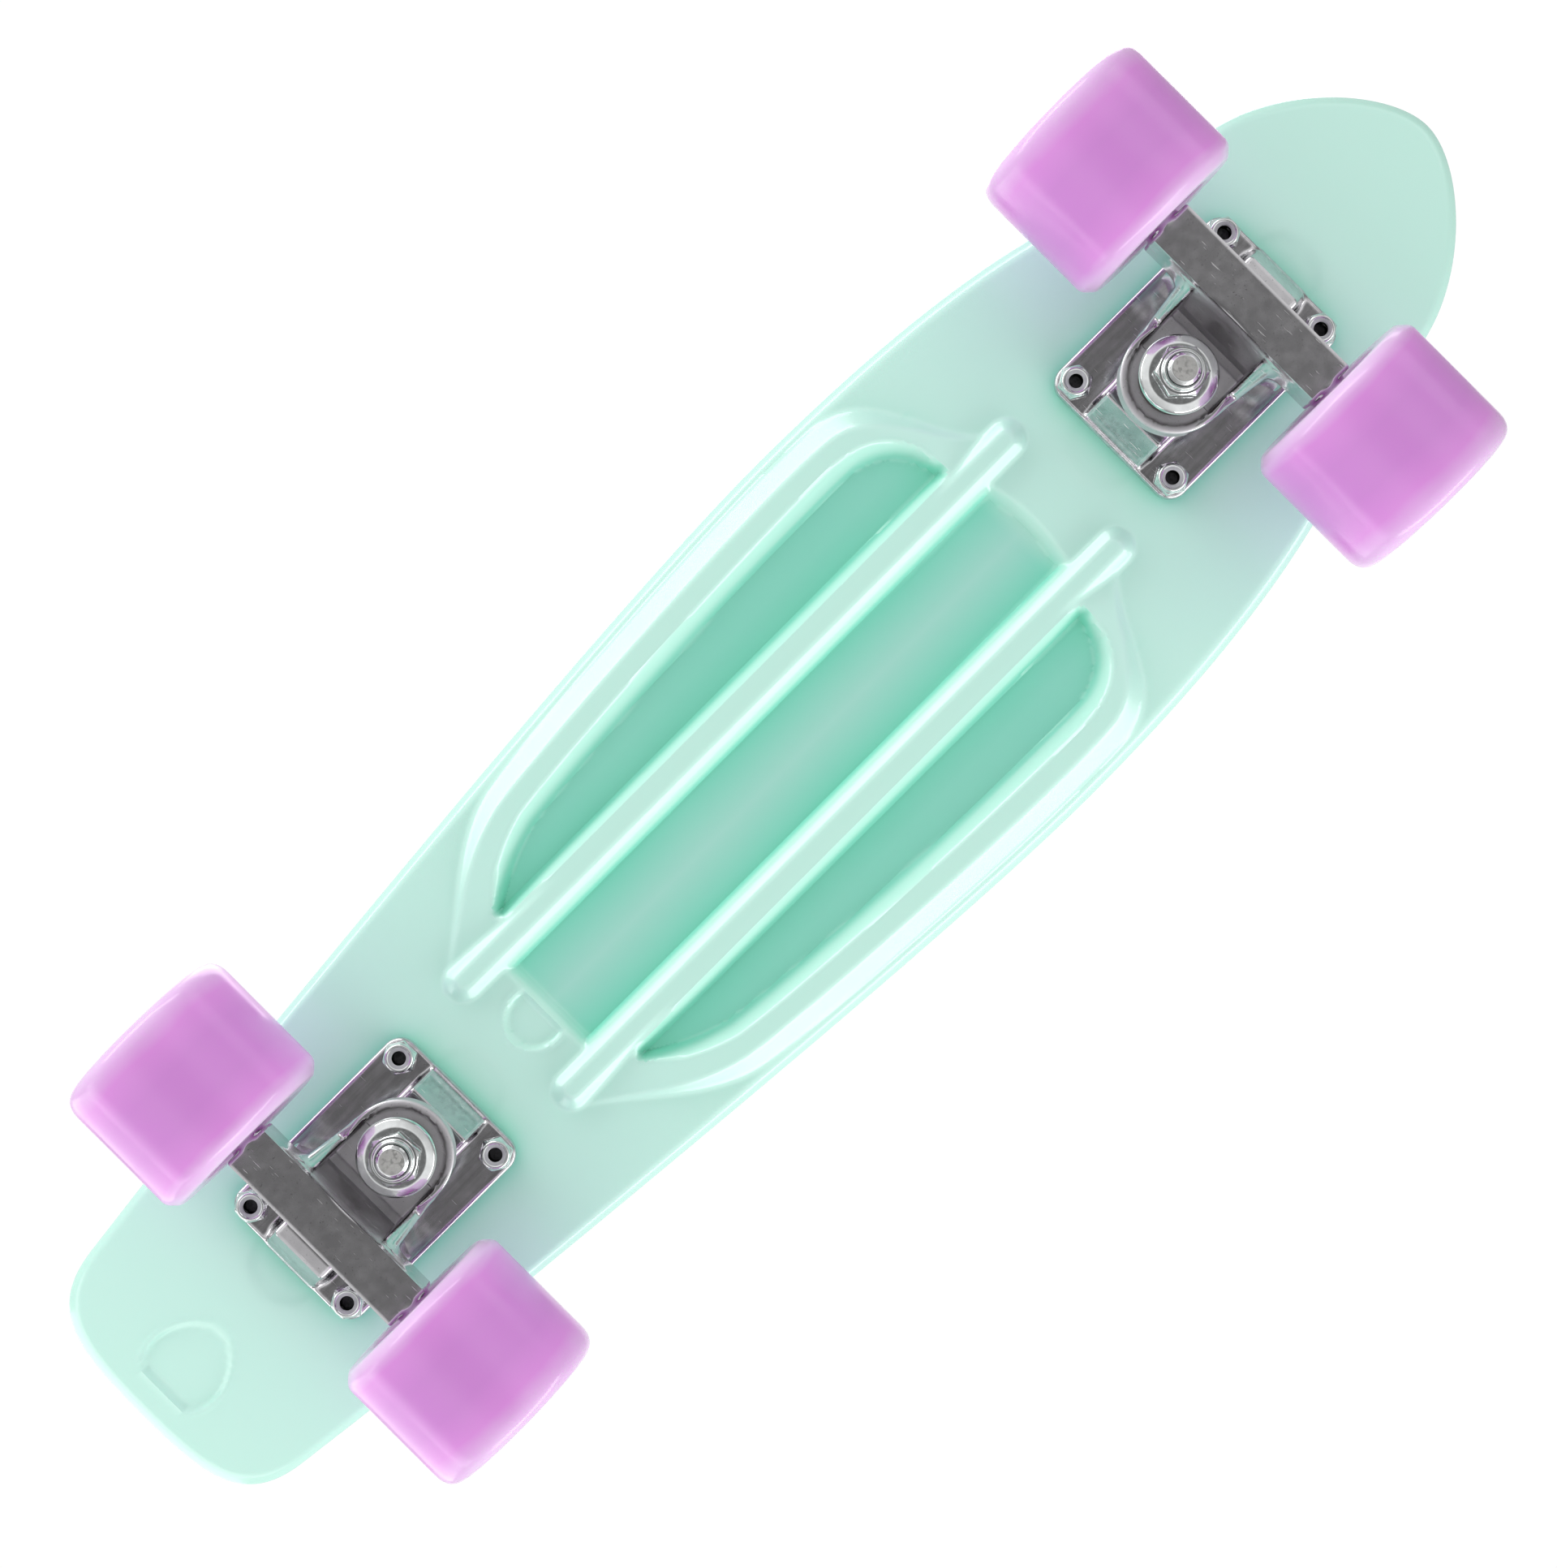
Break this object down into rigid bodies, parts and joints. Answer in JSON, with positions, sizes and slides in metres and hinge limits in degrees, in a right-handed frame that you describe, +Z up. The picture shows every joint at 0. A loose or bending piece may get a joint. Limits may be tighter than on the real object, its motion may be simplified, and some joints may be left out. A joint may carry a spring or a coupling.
{
  "type": "mini cruiser skateboard",
  "caption": "Short moulded-plastic cruiser skateboard with a kicked tail, ribbed underside, cast trucks that steer on rubber bushings, and wide soft wheels.",
  "frame": {"origin": "on the ground, midway between the two axles on the board's centre line, below the middle of the deck", "axes": "+X towards the rounded nose, +Y to the left side of the board, +Z up; the wheels stand on Z = 0"},
  "size_m": [0.57, 0.159, 0.1056],
  "materials": {
    "deck_plastic": "moulded mint plastic, semi-gloss",
    "wheel_urethane": "translucent pink-purple cast urethane, semi-gloss",
    "cast_aluminium": "tumbled casting, satin, with bright worn edges",
    "zinc_steel": "bright zinc plate",
    "axle_steel": "ground steel",
    "bearing_steel": "pressed steel shield, satin",
    "bushing_urethane": "dark urethane, satin",
    "pivot_cup_nylon": "white nylon, matte"
  },
  "bodies": {
    "board": {"deck": "deck_plastic", "front_baseplate": "cast_aluminium", "front_pivot_cup": "pivot_cup_nylon", "front_kingpin": "zinc_steel", "front_kingpin_nut": "zinc_steel", "front_upper_washer": "zinc_steel", "front_upper_bushing": "bushing_urethane", "front_lower_bushing": "bushing_urethane", "front_lower_washer": "zinc_steel", "front_deck_bolt_1": "zinc_steel", "front_lock_nut_1": "zinc_steel", "front_deck_bolt_2": "zinc_steel", "front_lock_nut_2": "zinc_steel", "front_deck_bolt_3": "zinc_steel", "front_lock_nut_3": "zinc_steel", "front_deck_bolt_4": "zinc_steel", "front_lock_nut_4": "zinc_steel", "rear_baseplate": "cast_aluminium", "rear_pivot_cup": "pivot_cup_nylon", "rear_kingpin": "zinc_steel", "rear_kingpin_nut": "zinc_steel", "rear_upper_washer": "zinc_steel", "rear_upper_bushing": "bushing_urethane", "rear_lower_bushing": "bushing_urethane", "rear_lower_washer": "zinc_steel", "rear_deck_bolt_1": "zinc_steel", "rear_lock_nut_1": "zinc_steel", "rear_deck_bolt_2": "zinc_steel", "rear_lock_nut_2": "zinc_steel", "rear_deck_bolt_3": "zinc_steel", "rear_lock_nut_3": "zinc_steel", "rear_deck_bolt_4": "zinc_steel", "rear_lock_nut_4": "zinc_steel"},
    "front_truck": {"front_hanger": "cast_aluminium", "front_axle": "axle_steel", "front_left_axle_sleeve": "axle_steel", "front_left_axle_nut": "zinc_steel", "front_right_axle_sleeve": "axle_steel", "front_right_axle_nut": "zinc_steel"},
    "front_left_wheel": {"front_left_wheel": "wheel_urethane", "front_left_inner_bearing": "bearing_steel", "front_left_outer_bearing": "bearing_steel"},
    "front_right_wheel": {"front_right_wheel": "wheel_urethane", "front_right_inner_bearing": "bearing_steel", "front_right_outer_bearing": "bearing_steel"},
    "rear_truck": {"rear_hanger": "cast_aluminium", "rear_axle": "axle_steel", "rear_left_axle_sleeve": "axle_steel", "rear_left_axle_nut": "zinc_steel", "rear_right_axle_sleeve": "axle_steel", "rear_right_axle_nut": "zinc_steel"},
    "rear_left_wheel": {"rear_left_wheel": "wheel_urethane", "rear_left_inner_bearing": "bearing_steel", "rear_left_outer_bearing": "bearing_steel"},
    "rear_right_wheel": {"rear_right_wheel": "wheel_urethane", "rear_right_inner_bearing": "bearing_steel", "rear_right_outer_bearing": "bearing_steel"}
  },
  "joints": [
    {"name": "front_steering", "type": "hinge", "parent": "board", "child": "front_truck", "pos_m": [0.2, 0, 0.068], "axis": [0.9085, 0, 0.4179], "range_deg": [-12, 12], "stiffness_Nm_per_rad": 40, "deforming": ["front_upper_bushing", "front_lower_bushing"]},
    {"name": "front_left_wheel_spin", "type": "hinge", "parent": "front_truck", "child": "front_left_wheel", "pos_m": [0.188, 0.05675, 0.03], "axis": [0, 1, 0], "continuous": true},
    {"name": "front_right_wheel_spin", "type": "hinge", "parent": "front_truck", "child": "front_right_wheel", "pos_m": [0.188, -0.05675, 0.03], "axis": [0, 1, 0], "continuous": true},
    {"name": "rear_steering", "type": "hinge", "parent": "board", "child": "rear_truck", "pos_m": [-0.2, 0, 0.068], "axis": [-0.9085, 0, 0.4179], "range_deg": [-12, 12], "stiffness_Nm_per_rad": 40, "deforming": ["rear_upper_bushing", "rear_lower_bushing"]},
    {"name": "rear_left_wheel_spin", "type": "hinge", "parent": "rear_truck", "child": "rear_left_wheel", "pos_m": [-0.188, 0.05675, 0.03], "axis": [0, 1, 0], "continuous": true},
    {"name": "rear_right_wheel_spin", "type": "hinge", "parent": "rear_truck", "child": "rear_right_wheel", "pos_m": [-0.188, -0.05675, 0.03], "axis": [0, 1, 0], "continuous": true}
  ]
}
